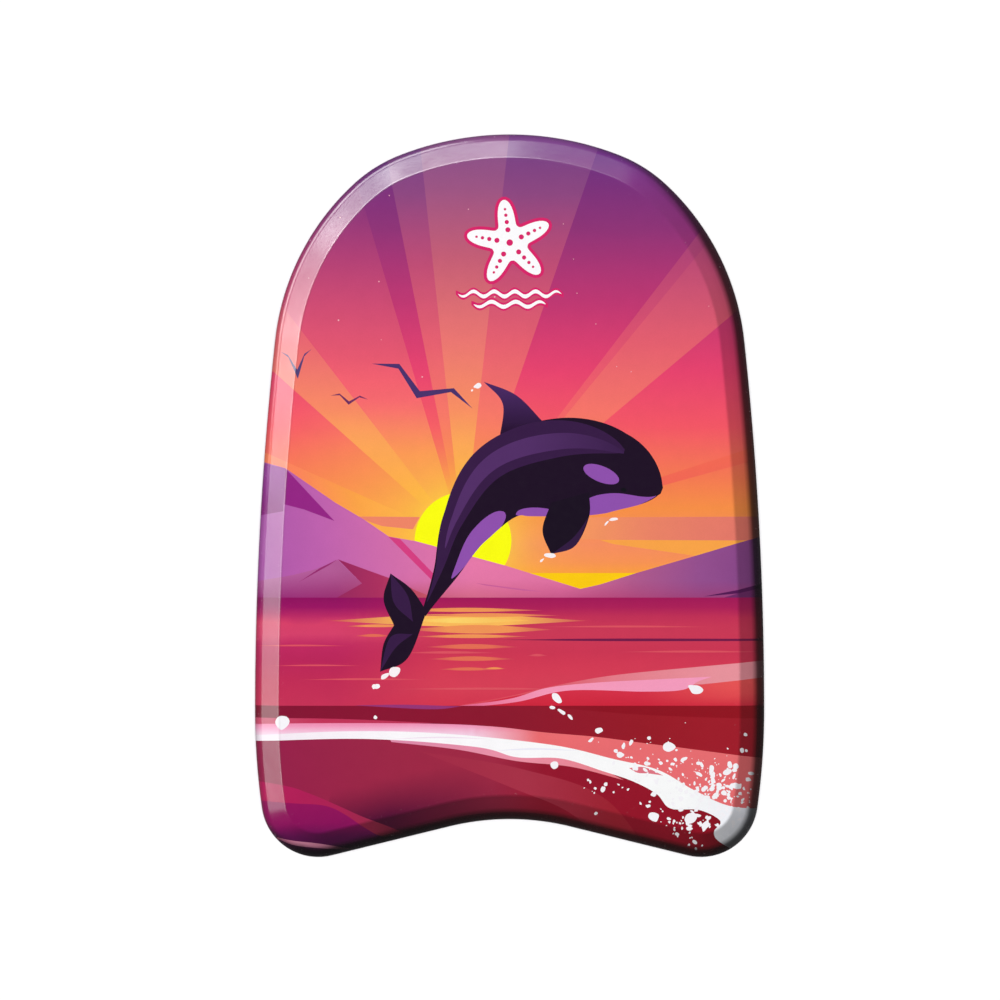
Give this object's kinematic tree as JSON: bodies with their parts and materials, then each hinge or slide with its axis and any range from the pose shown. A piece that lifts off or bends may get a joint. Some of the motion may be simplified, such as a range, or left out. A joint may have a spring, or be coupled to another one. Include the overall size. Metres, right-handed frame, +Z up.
{
  "type": "kickboard float",
  "caption": "Flat laminated foam swim board with a domed nose, bevelled rim, straight sides and a hollowed tail, held out in front by a swimmer while kicking.",
  "frame": {"origin": "on the resting face, below the middle of the bounding box", "axes": "+Z up through the thickness, out of the printed deck; +Y towards the domed nose; +X to the right of the print"},
  "size_m": [0.296, 0.42, 0.035],
  "materials": {
    "printed_film": "printed polyethylene film, satin, fine orange peel",
    "deck_foam": "fine closed-cell foam, matte",
    "bead_foam": "expanded bead foam, matte",
    "rail_foam": "fine closed-cell foam, matte",
    "slick_film": "embossed polyethylene film, satin"
  },
  "bodies": {
    "root": {"printed_deck_film": "printed_film", "deck_foam": "deck_foam", "foam_core": "bead_foam", "side_rail": "rail_foam", "tail_rail": "rail_foam", "bottom_foam": "deck_foam", "bottom_film": "slick_film"}
  },
  "joints": []
}
